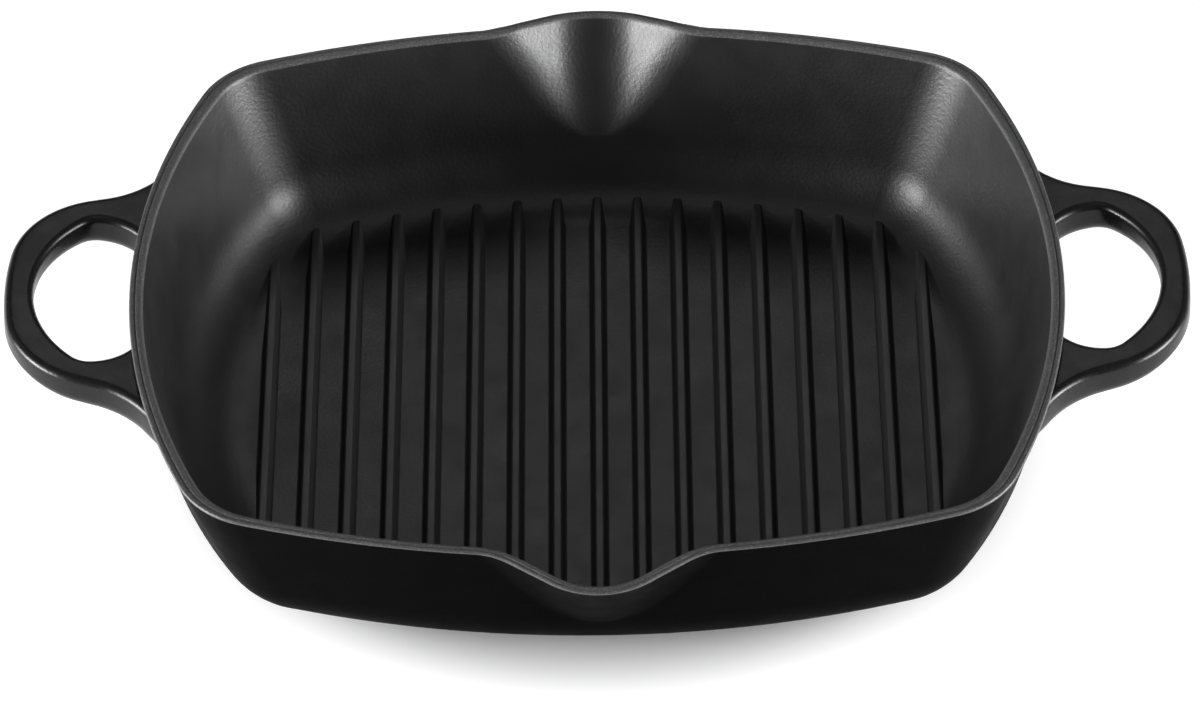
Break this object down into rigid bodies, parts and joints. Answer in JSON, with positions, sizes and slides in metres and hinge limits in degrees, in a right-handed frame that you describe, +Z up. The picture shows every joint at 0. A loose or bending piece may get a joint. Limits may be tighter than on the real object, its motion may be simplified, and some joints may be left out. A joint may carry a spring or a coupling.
{
  "type": "grill pan",
  "caption": "Bowed rectangular cast iron grill pan with a ribbed floor, drafted walls, a pour spout front and rear, and a loop handle on each side.",
  "frame": {"origin": "middle of the flat underside, on the surface that the pan stands on", "axes": "+X from the left handle to the right handle, +Y from the front spout to the rear spout, +Z up"},
  "size_m": [0.4148, 0.3024, 0.0681],
  "materials": {
    "interior_enamel": "satin black enamel",
    "exterior_enamel": "satin black enamel",
    "rim_enamel": "rough matt grey black enamel",
    "spout_enamel": "satin black enamel",
    "rib_enamel": "matt black enamel",
    "handle_enamel": "satin to gloss black enamel"
  },
  "bodies": {
    "root": {"pan_floor": "interior_enamel", "front_wall": "exterior_enamel", "rear_wall": "exterior_enamel", "left_wall": "exterior_enamel", "right_wall": "exterior_enamel", "left_rim": "rim_enamel", "right_rim": "rim_enamel", "front_pour_spout": "spout_enamel", "rear_pour_spout": "spout_enamel", "grill_ribs": "rib_enamel", "left_handle": "handle_enamel", "right_handle": "handle_enamel"}
  },
  "joints": []
}
